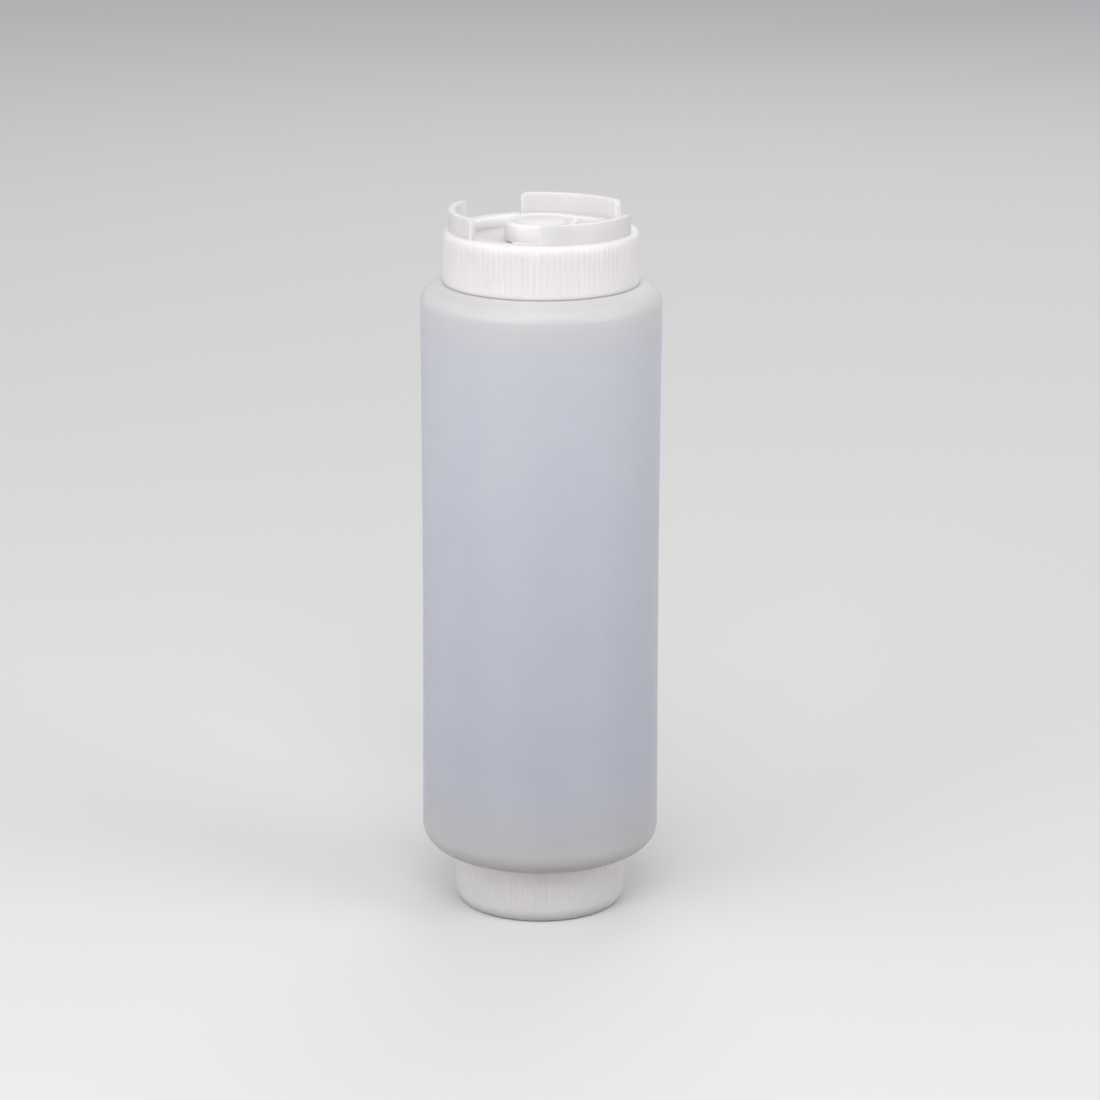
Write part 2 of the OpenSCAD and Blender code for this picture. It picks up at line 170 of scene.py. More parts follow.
def thread_tree():
    """Sweeps a ridge's outline up a right-hand helix. It shrinks to a point at both of its ends."""
    tree, given, made = new_tree("Screw thread", "GeometryNodeTree", {
        "Outline": "NodeSocketGeometry", "Steps": "NodeSocketInt", "Radius": "NodeSocketFloat",
        "Start": "NodeSocketFloat", "Pitch": "NodeSocketFloat", "Turns": "NodeSocketFloat",
        "Fade": "NodeSocketFloat", "Material": "NodeSocketMaterial"}, {"Thread": "NodeSocketGeometry"})
    grid, _, place, column = sweep_grid(tree, given["Outline"], given["Steps"])
    turns = calc(tree, "MULTIPLY", calc(tree, "DIVIDE", column, given["Steps"]), given["Turns"])
    left = calc(tree, "SUBTRACT", given["Turns"], turns)
    end = calc(tree, "DIVIDE", calc(tree, "MINIMUM", turns, left), given["Fade"])
    size = calc(tree, "POWER", calc(tree, "MINIMUM", end, 1), 0.5)
    angle = calc(tree, "MULTIPLY", turns, 2 * math.pi)
    radius = calc(tree, "ADD", given["Radius"], calc(tree, "MULTIPLY", place["X"], size))
    rise = calc(tree, "MULTIPLY_ADD", turns, given["Pitch"], given["Start"])
    swept = add_node(tree, "ShaderNodeCombineXYZ", {
        "X": calc(tree, "MULTIPLY", radius, calc(tree, "COSINE", angle)),
        "Y": calc(tree, "MULTIPLY", radius, calc(tree, "SINE", angle)),
        "Z": calc(tree, "ADD", rise, calc(tree, "MULTIPLY", place["Z"], size))})
    end_sweep(tree, grid, swept, given["Material"], made["Thread"])
    return tree


turned_wall = turned_wall_tree()
screw_thread = thread_tree()


def settle(piece):
    """Makes what a piece's modifiers give its plain mesh."""
    evaluated = piece.evaluated_get(bpy.context.evaluated_depsgraph_get())
    mesh = bpy.data.meshes.new_from_object(evaluated)
    piece.modifiers.clear()
    piece.data = mesh
    return piece


def new_piece(name, mesh_builder, material):
    """A piece whose mesh is a bmesh, with its faces turned outwards."""
    bmesh.ops.recalc_face_normals(mesh_builder, faces=mesh_builder.faces)
    mesh = bpy.data.meshes.new(name)
    mesh_builder.to_mesh(mesh)
    mesh_builder.free()
    mesh.materials.append(material)
    piece = bpy.data.objects.new(name, mesh)
    bpy.context.scene.collection.objects.link(piece)
    return piece


def swept(name, tree, outline, pattern, material, values):
    """A piece that a Geometry Nodes tree sweeps from an outline of radius and height in millimetres."""
    mesh = bpy.data.meshes.new(name)
    mesh.from_pydata([(r * MM, 0, z * MM) for r, z in outline], [], [])
    weights = mesh.attributes.new("pattern", "FLOAT", "POINT")
    weights.data.foreach_set("value", [float(pattern(r, z)) for r, z in outline])
    piece = bpy.data.objects.new(name, mesh)
    bpy.context.scene.collection.objects.link(piece)
    modifier = piece.modifiers.new("Sweep", "NODES")
    modifier.node_group = tree
    for label, value in dict(values, Material=material).items():
        modifier[tree.interface.items_tree[label].identifier] = value
    settle(piece)
    piece.data.materials.clear()
    piece.data.materials.append(material)
    piece.data.polygons.foreach_set("material_index", [0] * len(piece.data.polygons))
    return piece


def turned(name, outline, segments, material, pattern=lambda r, z: 0, **relief):
    """A piece with the outline swept round the upright axis. The outline runs with its material on its
    left."""
    values = {"Segments": segments, "Ribs": 0.0, "Rib Depth": 0.0, "Ridge Height": 0.0, "Ridge Width": 1.0,
              "Ridge Turn": 0.0}
    values.update({label.replace("_", " ").title(): value for label, value in relief.items()})
    return swept(name, turned_wall, outline, pattern, material, values)


def combine(piece, tool, operation):
    """Fuses a tool to a piece, or cuts it away, and removes the tool."""
    modifier = piece.modifiers.new("Combine", "BOOLEAN")
    modifier.operation = operation
    modifier.solver = "MANIFOLD"
    modifier.object = tool
    settle(piece)
    bpy.data.objects.remove(tool)


def add_thread(piece, wall_r, start_z, side):
    """Fuses one thread to a wall, on its outside with side 1 or on its inside with side -1."""
    sink, root, crest = 0.3, 1.0, 0.5
    height = side * (thread_depth + sink)
    outline = [(0, -root), (height, -crest), (height, crest), (0, root), (0, -root)]
    thread = swept("thread", screw_thread, outline[::side], lambda r, z: 0, piece.data.materials[0], {
        "Steps": 160, "Radius": (wall_r - side * sink) * MM, "Start": start_z * MM,
        "Pitch": thread_pitch * MM, "Turns": thread_turns, "Fade": 0.1})
    combine(piece, thread, "UNION")


def finish(piece, body, slot, *nodes, crease=35):
    """Gives a piece smooth faces with sharp creases and its body, and hides its CAD nodes. The slot is not
    used.
    """
    piece.data.polygons.foreach_set("use_smooth", [True] * len(piece.data.polygons))
    piece.data.set_sharp_from_angle(angle=math.radians(crease))
    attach(piece, body)
    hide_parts(*nodes)


def moulded_skin_tree():
    """The skin of moulded plastic: a fine grain on soft mottling, as a height, a tone and a gloss."""
    tree, given, made = new_tree(
        "Moulded skin", "ShaderNodeTree", {"Grain": "NodeSocketFloat", "Mottle": "NodeSocketFloat"},
        {"Height": "NodeSocketFloat", "Tone": "NodeSocketFloat", "Gloss": "NodeSocketFloat"})
    spot = tree.nodes.new("ShaderNodeTexCoord").outputs["Object"]
    grain = add_node(tree, "ShaderNodeTexNoise", {"Vector": spot, "Scale": given["Grain"], "Detail": 3})
    mottle = add_node(tree, "ShaderNodeTexNoise", {"Vector": spot, "Scale": given["Mottle"], "Detail": 2})
    height = calc(tree, "ADD", calc(tree, "MULTIPLY", grain.outputs[0], 0.3),
                  calc(tree, "MULTIPLY", mottle.outputs[0], 0.7))
    tone = add_node(tree, "ShaderNodeMapRange", {
        "Value": mottle.outputs[0], "From Min": 0.35, "From Max": 0.65}, interpolation_type="SMOOTHSTEP")
    tree.links.new(height, made["Height"])
    tree.links.new(tone.outputs[0], made["Tone"])
    tree.links.new(grain.outputs[0], made["Gloss"])
    return tree


def flow_streaks_tree():
    """The long upright streaks that melt leaves as it flows, where the plastic is a little thicker."""
    tree, given, made = new_tree(
        "Flow streaks", "ShaderNodeTree", {"Scale": "NodeSocketFloat", "Stretch": "NodeSocketFloat"},
        {"Streak": "NodeSocketFloat"})
    spot = tree.nodes.new("ShaderNodeTexCoord").outputs["Object"]
    place = add_node(tree, "ShaderNodeSeparateXYZ", {0: spot})
    drawn = add_node(tree, "ShaderNodeCombineXYZ", {
        "X": place.outputs["X"], "Y": place.outputs["Y"],
        "Z": calc(tree, "DIVIDE", place.outputs["Z"], given["Stretch"])})
    noise = add_node(tree, "ShaderNodeTexNoise", {
        "Vector": drawn.outputs[0], "Scale": given["Scale"], "Detail": 4, "Roughness": 0.6})
    streak = add_node(tree, "ShaderNodeMapRange", {
        "Value": noise.outputs[0], "From Min": 0.35, "From Max": 0.65}, interpolation_type="SMOOTHSTEP")
    tree.links.new(streak.outputs[0], made["Streak"])
    return tree


def scuffs_tree():
    """Fine scuffs from washing and handling: short thin lines in two directions."""
    tree, given, made = new_tree(
        "Handling scuffs", "ShaderNodeTree", {"Scale": "NodeSocketFloat", "Amount": "NodeSocketFloat"},
        {"Scuff": "NodeSocketFloat"})
    spot = tree.nodes.new("ShaderNodeTexCoord").outputs["Object"]
    masks = []
    for lean in (0.5, -0.9):
        turned_spot = add_node(tree, "ShaderNodeMapping", {
            "Vector": spot, "Rotation": (lean, 0.3, lean), "Scale": (1, 1, 14)})
        noise = add_node(tree, "ShaderNodeTexNoise", {
            "Vector": turned_spot.outputs[0], "Scale": given["Scale"], "Detail": 2})
        mask = add_node(tree, "ShaderNodeMapRange", {
            "Value": noise.outputs[0], "From Min": 0.64, "From Max": 0.74})
        masks.append(mask.outputs[0])
    both = calc(tree, "MAXIMUM", *masks)
    tree.links.new(calc(tree, "MULTIPLY", both, given["Amount"]), made["Scuff"])
    return tree


moulded_skin = moulded_skin_tree()
flow_streaks = flow_streaks_tree()
handling_scuffs = scuffs_tree()


def plastic(name, colour, streak_colour, roughness, finish_values, grain=900, mottle=130, streaks=90,
            stretch=14, scuffs=0.3, bump=0.02):
    """A plastic with its grain, streaks and scuffs. finish_values are the shader's own constant values."""
    material = bpy.data.materials.new(name)
    material.use_nodes = True
    tree = material.node_tree
    shader = tree.nodes["Principled BSDF"]
    for label, value in finish_values.items():
        shader.inputs[label].default_value = value
    skin = add_node(tree, "ShaderNodeGroup", {"Grain": grain, "Mottle": mottle}, node_tree=moulded_skin)
    streak = add_node(tree, "ShaderNodeGroup", {"Scale": streaks, "Stretch": stretch}, node_tree=flow_streaks)
    scuff = add_node(tree, "ShaderNodeGroup", {"Scale": 160, "Amount": scuffs}, node_tree=handling_scuffs)
    share = calc(tree, "ADD", calc(tree, "MULTIPLY", streak.outputs[0], 0.6),
                 calc(tree, "MULTIPLY", skin.outputs["Tone"], 0.4))
    mixed = add_node(tree, "ShaderNodeMix", {
        0: share, 6: (*colour, 1), 7: (*streak_colour, 1)}, data_type="RGBA")
    tree.links.new(mixed.outputs[2], shader.inputs["Base Color"])
    rough = calc(tree, "MULTIPLY_ADD", skin.outputs["Gloss"], 0.12, roughness - 0.06)
    rough = calc(tree, "MULTIPLY_ADD", scuff.outputs[0], 0.3, rough)
    tree.links.new(rough, shader.inputs["Roughness"])
    height = calc(tree, "SUBTRACT", skin.outputs["Height"], calc(tree, "MULTIPLY", scuff.outputs[0], 0.3))
    relief = add_node(tree, "ShaderNodeBump", {"Height": height, "Strength": 0.5, "Distance": bump * MM})
    tree.links.new(relief.outputs[0], shader.inputs["Normal"])
    return material


def height_share_tree():
    """How far up a point lies between two heights: 0 at the lower one and 1 at the higher one."""
    tree, given, made = new_tree("Height share", "ShaderNodeTree", {
        "Low": "NodeSocketFloat", "High": "NodeSocketFloat"}, {"Share": "NodeSocketFloat"})
    spot = tree.nodes.new("ShaderNodeTexCoord").outputs["Object"]
    place = add_node(tree, "ShaderNodeSeparateXYZ", {0: spot})
    share = add_node(tree, "ShaderNodeMapRange", {
        "Value": place.outputs["Z"], "From Min": given["Low"], "From Max": given["High"]})
    tree.links.new(share.outputs[0], made["Share"])
    return tree


height_share = height_share_tree()


def paint_light_and_shade_by_height(material, stops):
    """Multiplies a plastic's colour by a tint that changes with the height above the floor in millimetres.
    The tint is painted light and shade: lighter where more light falls, darker where shade falls.
    """
    tree = material.node_tree
    shader = tree.nodes["Principled BSDF"]
    base = shader.inputs["Base Color"].links[0].from_socket
    lowest, highest = stops[0][0], stops[-1][0]
    share = add_node(tree, "ShaderNodeGroup", {"Low": lowest * MM, "High": highest * MM},
                     node_tree=height_share)
    ramp = add_node(tree, "ShaderNodeValToRGB", {"Fac": share.outputs["Share"]})
    marks = ramp.color_ramp.elements
    marks[0].color = (*stops[0][1], 1)
    marks[1].color = (*stops[-1][1], 1)
    for z, tint in stops[1:-1]:
        marks.new((z - lowest) / (highest - lowest)).color = (*tint, 1)
    tinted = add_node(tree, "ShaderNodeMix", {0: 1.0, 6: base, 7: ramp.outputs[0]}, data_type="RGBA",
                      blend_type="MULTIPLY")
    tree.links.new(tinted.outputs[2], shader.inputs["Base Color"])


natural_polyethylene = plastic(
    "natural_polyethylene", (0.665, 0.687, 0.785), (0.64, 0.662, 0.76), 0.42, {
        "IOR": 1.51, "Subsurface Weight": 1, "Subsurface Radius": (1.0, 1.05, 1.15),
        "Subsurface Scale": 4 * MM}, mottle=70, streaks=55)
# Painted light and shade: the body is painted darker and bluer low down and through the middle, lighter
# towards the top, with a bright warm band under the dispensing cap and a warmer band at its lower corner.
paint_light_and_shade_by_height(natural_polyethylene, [
    (17, (0.80, 0.755, 0.67)), (27, (0.76, 0.735, 0.68)), (48, (0.72, 0.73, 0.76)),
    (110, (0.80, 0.81, 0.845)), (160, (0.875, 0.885, 0.915)), (176, (0.91, 0.905, 0.89)),
    (184, (0.97, 0.935, 0.86)), (190, (1, 0.95, 0.84))])


def body_outline(inset):
    """The body's side from its lower corner to its upper one, drawn in by a wall's thickness."""
    low = under_z + lower_corner_r
    edge = math.pi / 2 - shoulder_slope
    drop = ledge_z - math.tan(shoulder_slope) * shoulder_flat
    high = drop - upper_corner_r * math.sin(edge)
    ledge_r = body_r - upper_corner_r * (1 - math.cos(edge)) - shoulder_flat
    heights = [low + (high - low) * i / 14 for i in range(1, 14)]
    side = [(body_r - inset - waist * math.sin(math.pi * (z - low) / (high - low)), z) for z in heights]
    bend_r = ledge_r - inset * math.tan(shoulder_slope / 2)
    return [*arc(body_r - lower_corner_r, low, lower_corner_r - inset, -90, 0, 12), *side,
            *arc(body_r - upper_corner_r, high, upper_corner_r - inset, 0, math.degrees(edge), 9),
            (bend_r + 0.8, ledge_z - inset - 0.45), (bend_r, ledge_z - inset - 0.12),
            (bend_r - 0.9, ledge_z - inset)]


neck_round = 0.4
mouth_round = 0.3
inner_round = 1.2
bottle = turned("bottle_shell", [
    *arc(base_bore_r + mouth_round, bottle_low.z + mouth_round, mouth_round, 180, 270, 3),
    *arc(base_neck_r - mouth_round, bottle_low.z + mouth_round, mouth_round, 270, 360, 3),
    *arc(base_neck_r + neck_round, under_z - neck_round, neck_round, 180, 90, 4),
    *body_outline(0),
    *arc(top_neck_r + neck_round, ledge_z + neck_round, neck_round, 270, 180, 4),
    *arc(top_neck_r - mouth_round, bottle_high.z - mouth_round, mouth_round, 0, 90, 3),
    *arc(top_bore_r + mouth_round, bottle_high.z - mouth_round, mouth_round, 90, 180, 3),
    *arc(top_bore_r + wall, ledge_z - wall + inner_round, inner_round, 180, 270, 5)[:-1],
    *reversed(body_outline(wall)),
    *arc(base_bore_r + inner_round, under_z + wall - inner_round, inner_round, 90, 180, 5),
    (base_bore_r, bottle_low.z + mouth_round)], 720, natural_polyethylene,
    pattern=lambda r, z: r > body_r - 4.5 and under_z + 2 < z < ledge_z - 0.5,
    ridge_height=parting_height * MM, ridge_width=parting_width * MM, ridge_turn=parting_turn)
top_thread_z = ledge_z + 3.5
base_thread_z = bottle_low.z + 2.8
add_thread(bottle, top_neck_r, top_thread_z, 1)
add_thread(bottle, base_neck_r, base_thread_z, 1)
finish(bottle, "bottle", "bottle_plastic", "bottle")

# The sealing ring is punched from foamed polyethylene. It lies loose in the dispensing cap's top, round the
# recess, and the neck's rim presses on it.
seal_low, seal_high = (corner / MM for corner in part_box("dispensing_seal"))
seal_edge = 0.12
seal_foam = plastic("seal_foam", (0.74, 0.75, 0.72), (0.70, 0.71, 0.68), 0.7, {
    "Subsurface Weight": 0.3, "Subsurface Radius": (1.0, 1.0, 1.0), "Subsurface Scale": 1 * MM},
    grain=3500, mottle=900, streaks=400, stretch=1, scuffs=0.1, bump=0.06)


def washer_outline(r_in, r_out, low, high, edge):
    """A flat ring's outline, with rounded edges."""
    return [*arc(r_in + edge, low + edge, edge, 180, 270, 3),
            *arc(r_out - edge, low + edge, edge, 270, 360, 3),
            *arc(r_out - edge, high - edge, edge, 0, 90, 3),
            *arc(r_in + edge, high - edge, edge, 90, 180, 3), (r_in, low + edge)]


sealing_ring = turned("sealing_ring", washer_outline(
    top_bore_r, seal_high.x, seal_low.z, seal_high.z, seal_edge), 192, seal_foam)
finish(sealing_ring, "dispensing_seal", "seal_foam", "dispensing_seal")

# The dispensing cap is one moulding of milky polypropylene: a ribbed skirt, a recessed top with the spout,
# two hinge ears, and three upright tabs that the bottle stands on when it is turned over.
skirt_r = cap_high.x
# How much lower the skirt reaches than the solid's, to narrow the gap that shows over the shoulder.
skirt_drop = 0.17
skirt_z = cap_low.z - skirt_drop
skirt_draft = 0.18
skirt_wall = 1.7
rim_z = ledge_z + 15.2
cap_end = 1.6
rib_depth = 0.13
rib_low_z = skirt_z + 1.7
shoulder_r = 1.2
rib_high_z = rim_z - shoulder_r - 0.45
collar_r = skirt_r - 0.32
recess_r = 22.5
recess_z = rim_z - 3.2
recess_under_z = recess_z - 1.4
recess_wall = 1.2
spout_r = 8.4
spout_top_z = recess_z + 2.55
seat_z = recess_z + 1.6
seat_r = 7.45
outlet_r = 5.6
snap_z = recess_z + 1.2
snap_t = 0.25
snap_half = 0.15
snap_slope = 0.3
hinge_turn = math.radians(158)
hinge_reach = 13.5
hinge_z = recess_z + 2
barrel_r = 1.6
barrel_w = 6
pivot_r = 1
pivot_play = 0.05
ear_t = 1.4
ear_gap = 0.15

milky_polypropylene = plastic(
    "milky_polypropylene", (0.845, 0.80, 0.80), (0.82, 0.775, 0.775), 0.38, {
        "IOR": 1.49, "Subsurface Weight": 1, "Subsurface Radius": (1.05, 1.0, 1.0),
        "Subsurface Scale": 3.5 * MM}, streaks=140, stretch=6)
# The tabs' plastic is a darker copy of the cap's: partly darker because the tabs are thin and let light
# through, partly painted shade.
thin_shaded_polypropylene = plastic(
    "thin_shaded_polypropylene", (0.75, 0.735, 0.745), (0.72, 0.705, 0.715), 0.38, {
        "IOR": 1.49, "Subsurface Weight": 1, "Subsurface Radius": (1.0, 1.0, 1.05),
        "Subsurface Scale": 2.5 * MM, "Transmission Weight": 0.13}, streaks=140, stretch=6)


def skirt_side(z):
    """The skirt's outer radius, which draws in a little towards its top."""
    return skirt_r - skirt_draft * (z - skirt_z) / (rim_z - skirt_z)


def in_ribs(r, z):
    """Whether a point of the outline lies in the band of grip ribs."""
    return r > skirt_r - 0.5 and rib_low_z <= z <= rib_high_z


dispensing_cap = turned("dispensing_cap_moulding", [
    *arc(skirt_r - skirt_wall + 0.2, skirt_z + 0.2, 0.2, 180, 270, 3),
    *arc(skirt_r - 0.12, skirt_z + 0.12, 0.12, 270, 360, 4),
    (skirt_side(rib_low_z - 0.35), rib_low_z - 0.35),
    *[(skirt_side(z), z) for z in (rib_low_z + (rib_high_z - rib_low_z) * i / 6 for i in range(7))],
    (collar_r + 0.04, rib_high_z + 0.3),
    *arc(collar_r - shoulder_r, rim_z - shoulder_r, shoulder_r, 0, 90, 10),
    *arc(recess_r + 0.3, rim_z - 0.3, 0.3, 90, 180, 4),
    *arc(recess_r - 0.5, recess_z + 0.5, 0.5, 0, -90, 5),
    *arc(spout_r + 0.35, recess_z + 0.35, 0.35, 270, 180, 4),
    (spout_r, snap_z - snap_slope), (spout_r - snap_t, snap_z - snap_half),
    (spout_r - snap_t, snap_z + snap_half), (spout_r, snap_z + snap_slope),
    *arc(spout_r - 0.2, spout_top_z - 0.2, 0.2, 0, 90, 3),
    *arc(seat_r + 0.15, spout_top_z - 0.15, 0.15, 90, 180, 3),
    (seat_r, seat_z), (outlet_r + 0.1, seat_z), (outlet_r, seat_z - 0.1),
    (outlet_r, recess_under_z + 0.15), (outlet_r + 0.15, recess_under_z),
    *arc(recess_r + recess_wall - 0.4, recess_under_z + 0.4, 0.4, 270, 360, 4),
    *arc(recess_r + recess_wall + 0.3, rim_z - cap_end - 0.3, 0.3, 180, 90, 4),
    *arc(skirt_r - skirt_wall - 0.5, rim_z - cap_end - 0.5, 0.5, 90, 0, 4),
    (skirt_r - skirt_wall, skirt_z + 0.2)], 800, milky_polypropylene,
    pattern=in_ribs, ribs=100.0, rib_depth=rib_depth * MM)
add_thread(dispensing_cap, skirt_r - skirt_wall, top_thread_z - thread_pitch / 2, -1)


def bevelled(piece, width, segments=3):
    """Rounds a piece's sharp edges."""
    modifier = piece.modifiers.new("Round", "BEVEL")
    modifier.width = width * MM
    modifier.segments = segments
    modifier.limit_method = "ANGLE"
    modifier.angle_limit = math.radians(35)
    return settle(piece)


def prism(name, outline, thickness, turn, reach, material):
    """An upright plate square to the hinge's axis. Its outline gives how far out and how high, and reach is
    where its middle stands along the axis."""
    builder = bmesh.new()
    out = at_turn(1, 0, turn)
    along = at_turn(1, 0, turn + math.pi / 2)
    rings = []
    for side in (-0.5, 0.5):
        shift = along * (reach + side * thickness)
        rings.append([builder.verts.new(out * x + shift + Vector((0, 0, z * MM))) for x, z in outline])
    builder.faces.new(rings[0])
    builder.faces.new(rings[1])
    for i in range(len(outline)):
        builder.faces.new((rings[0][i - 1], rings[0][i], rings[1][i], rings[1][i - 1]))
    return new_piece(name, builder, material)


def circle(r, z, radius, steps=48):
    """Points of a full circle."""
    return arc(r, z, radius, 0, 360, steps)[:-1]


for side in (-1, 1):
    ear_place = side * (barrel_w / 2 + ear_gap + ear_t / 2)
    ear = prism("ear", [(hinge_reach - barrel_r, recess_z - 0.5), (hinge_reach + barrel_r, recess_z - 0.5),
                        *arc(hinge_reach, hinge_z, barrel_r, 0, 180, 20)],
                ear_t, hinge_turn, ear_place, milky_polypropylene)
    combine(dispensing_cap, bevelled(ear, 0.15), "UNION")
    bore = prism("bore", circle(hinge_reach, hinge_z, pivot_r + pivot_play), ear_t + 1, hinge_turn,
                 ear_place, milky_polypropylene)
    combine(dispensing_cap, bore, "DIFFERENCE")

tab_r = skirt_r - 1.6
tab_t = 1.9
tab_h = cap_high.z - rim_z
tab_corner_r = 1.6
tab_turns = {"right": 35.8, "rear": 156.8, "left": 275.9}
tab_spans = {"right": 74.8, "rear": 73.8, "left": 71.6}


def stand_tab(name, turn, span):
    """A bowed plate with rounded upper corners, rounded edges and a small flare at its foot."""
    middle_r = tab_r - tab_t / 2
    half = math.radians(span / 2) * tab_r
    edge, flare, sink = 0.3, 0.3, 0.5
    places = [half - edge * (1 - math.sin(math.radians(a))) for a in range(90, 0, -15)]
    places += [half - tab_corner_r + tab_corner_r * math.cos(math.radians(a)) for a in range(35, 91, 9)]
    inner = [half - tab_corner_r - (half - tab_corner_r) * i / 24 for i in range(25)]
    places = sorted({round(p, 4) for p in places + inner if p <= half})
    places = [-p for p in reversed(places) if p > 0] + places
    builder = bmesh.new()
    loops = []
    for x in places:
        over_corner = max(0, abs(x) - (half - tab_corner_r))
        over_edge = max(0, abs(x) - (half - edge))
        top = tab_h - tab_corner_r + math.sqrt(max(0, tab_corner_r**2 - over_corner**2))
        width = tab_t / 2 - edge + math.sqrt(max(0, edge**2 - over_edge**2))
        rounding = min(edge, width * 0.9)
        side = [(width + flare, -sink), *arc(width + flare, flare, flare, 270, 180, 4),
                *arc(width - rounding, top - rounding, rounding, 0, 90, 5)]
        section = side + [(-y, z) for y, z in reversed(side)]
        angle = math.radians(turn) + x / tab_r
        loops.append([builder.verts.new(at_turn(middle_r + y, rim_z + z, angle)) for y, z in section])
    for first, second in zip(loops, loops[1:]):
        for i in range(len(first)):
            builder.faces.new((first[i - 1], first[i], second[i], second[i - 1]))
    builder.faces.new(loops[0])
    builder.faces.new(loops[-1])
    return new_piece(name, builder, milky_polypropylene)


for place in tab_turns:
    combine(dispensing_cap, stand_tab(place + "_tab", tab_turns[place], tab_spans[place]), "UNION")

# The three tabs take the darker copy of the cap's plastic, which is partly painted shade.
dispensing_cap.data.materials.append(thin_shaded_polypropylene)
for face in dispensing_cap.data.polygons:
    if face.center.z > (rim_z + 0.15) * MM and math.hypot(*face.center[:2]) > (tab_r - tab_t - 1) * MM:
        face.material_index = 1
finish(dispensing_cap, "dispensing_cap", "cap_plastic", "dispensing_cap", crease=60)

# The valve is moulded in soft silicone rubber: a flange that is clamped on the spout's seat, and a thin
# membrane with a cross slit. The four flaps between the slits bend open when the bottle is squeezed.
valve_low, valve_high = (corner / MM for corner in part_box("valve"))
flange_r = valve_high.x
open_r = 5.2
membrane_z = seat_z + 0.4
membrane_top_z = membrane_z + 0.4
flap_reach = 4 / math.sqrt(2)
flap_relief = 0.28
flap_cut = 1
slit_gap = 0.1
valve_silicone = plastic("valve_silicone", (0.80, 0.76, 0.67), (0.77, 0.73, 0.64), 0.5, {
    "IOR": 1.41, "Subsurface Weight": 0.6, "Subsurface Radius": (1.2, 1.0, 0.7), "Subsurface Scale": 2 * MM,
    "Sheen Weight": 0.15, "Sheen Roughness": 0.4}, grain=2600, mottle=500, streaks=500, stretch=1)

valve = turned("valve_moulding", [
    (0, membrane_z), (open_r - 0.25, membrane_z), (open_r - 0.05, membrane_z - 0.1),
    (open_r, membrane_z - 0.25), (open_r + 0.1, valve_low.z),
    *arc(flange_r - 0.15, valve_low.z + 0.15, 0.15, 270, 360, 3),
    *arc(flange_r - 0.15, valve_high.z - 0.15, 0.15, 0, 90, 3),
    (open_r + 0.1, valve_high.z), (open_r, membrane_top_z + 0.1), (open_r - 0.15, membrane_top_z),
    (0, membrane_top_z)], 128, valve_silicone)
half_side = flap_reach + slit_gap / 2
opening = bmesh.new()
bmesh.ops.create_cube(opening, size=1, matrix=Matrix.LocRotScale(
    Vector((0, 0, seat_z)) * MM, Matrix.Rotation(math.pi / 4, 3, "Z"),
    Vector((2 * half_side, 2 * half_side, 4)) * MM))
combine(valve, new_piece("opening", opening, valve_silicone), "DIFFERENCE")
finish(valve, "dispensing_cap", "valve_silicone", "valve")

for number, turn in enumerate((45, 135, 225, 315), 1):
    builder = bmesh.new()
    out, along = at_turn(1, 0, math.radians(turn)), at_turn(1, 0, math.radians(turn + 90))
    side_x, side_y = flap_reach - flap_cut, flap_reach - flap_cut - slit_gap
    root_y = flap_reach - slit_gap - flap_relief
    corners = [(slit_gap, 0), (side_x, -side_y), (flap_reach, -root_y), (flap_reach, root_y),
               (side_x, side_y)]
    rings = [[builder.verts.new(out * x + along * y + Vector((0, 0, z * MM))) for x, y in corners]
             for z in (membrane_z, membrane_top_z)]
    builder.faces.new(rings[0])
    builder.faces.new(rings[1])
    for i in range(len(corners)):
        builder.faces.new((rings[0][i - 1], rings[0][i], rings[1][i], rings[1][i - 1]))
    flap = bevelled(new_piece(f"flap_{number}", builder, valve_silicone), 0.06, 2)
    finish(flap, f"valve_flap_{number}", "valve_silicone", f"valve_flap_{number}")

# The retaining ring is a hard natural polypropylene ring. It snaps over the spout's bead and holds the
# valve's flange down on its seat.
ring_in_r = spout_r + 0.05
ring_r = ring_in_r + 0.65
ring_z = recess_z + 0.6
ring_under_z = seat_z + 1.05
ring_top_z = ring_under_z + 0.8
natural_polypropylene = plastic("natural_polypropylene", (0.77, 0.78, 0.79), (0.74, 0.75, 0.765), 0.3, {
    "IOR": 1.49, "Subsurface Weight": 1, "Subsurface Radius": (1.0, 1.0, 1.0), "Subsurface Scale": 1.5 * MM},
    grain=2000, mottle=400, streaks=300, stretch=2)
retainer = turned("retaining_ring", [
    (ring_in_r, ring_z), *arc(ring_r - 0.1, ring_z + 0.1, 0.1, 270, 360, 3),
    *arc(ring_r - 0.3, ring_top_z - 0.3, 0.3, 0, 90, 4),
    *arc(open_r + 0.2, ring_top_z - 0.2, 0.2, 90, 180, 4),
    (open_r, ring_under_z), (ring_in_r, ring_under_z), (ring_in_r, snap_z + snap_slope),
    (ring_in_r - snap_t, snap_z + snap_half), (ring_in_r - snap_t, snap_z - snap_half),
    (ring_in_r, snap_z - snap_slope),
    (ring_in_r, ring_z)], 160, natural_polypropylene)
finish(retainer, "dispensing_cap", "retainer_plastic", "valve_retainer")
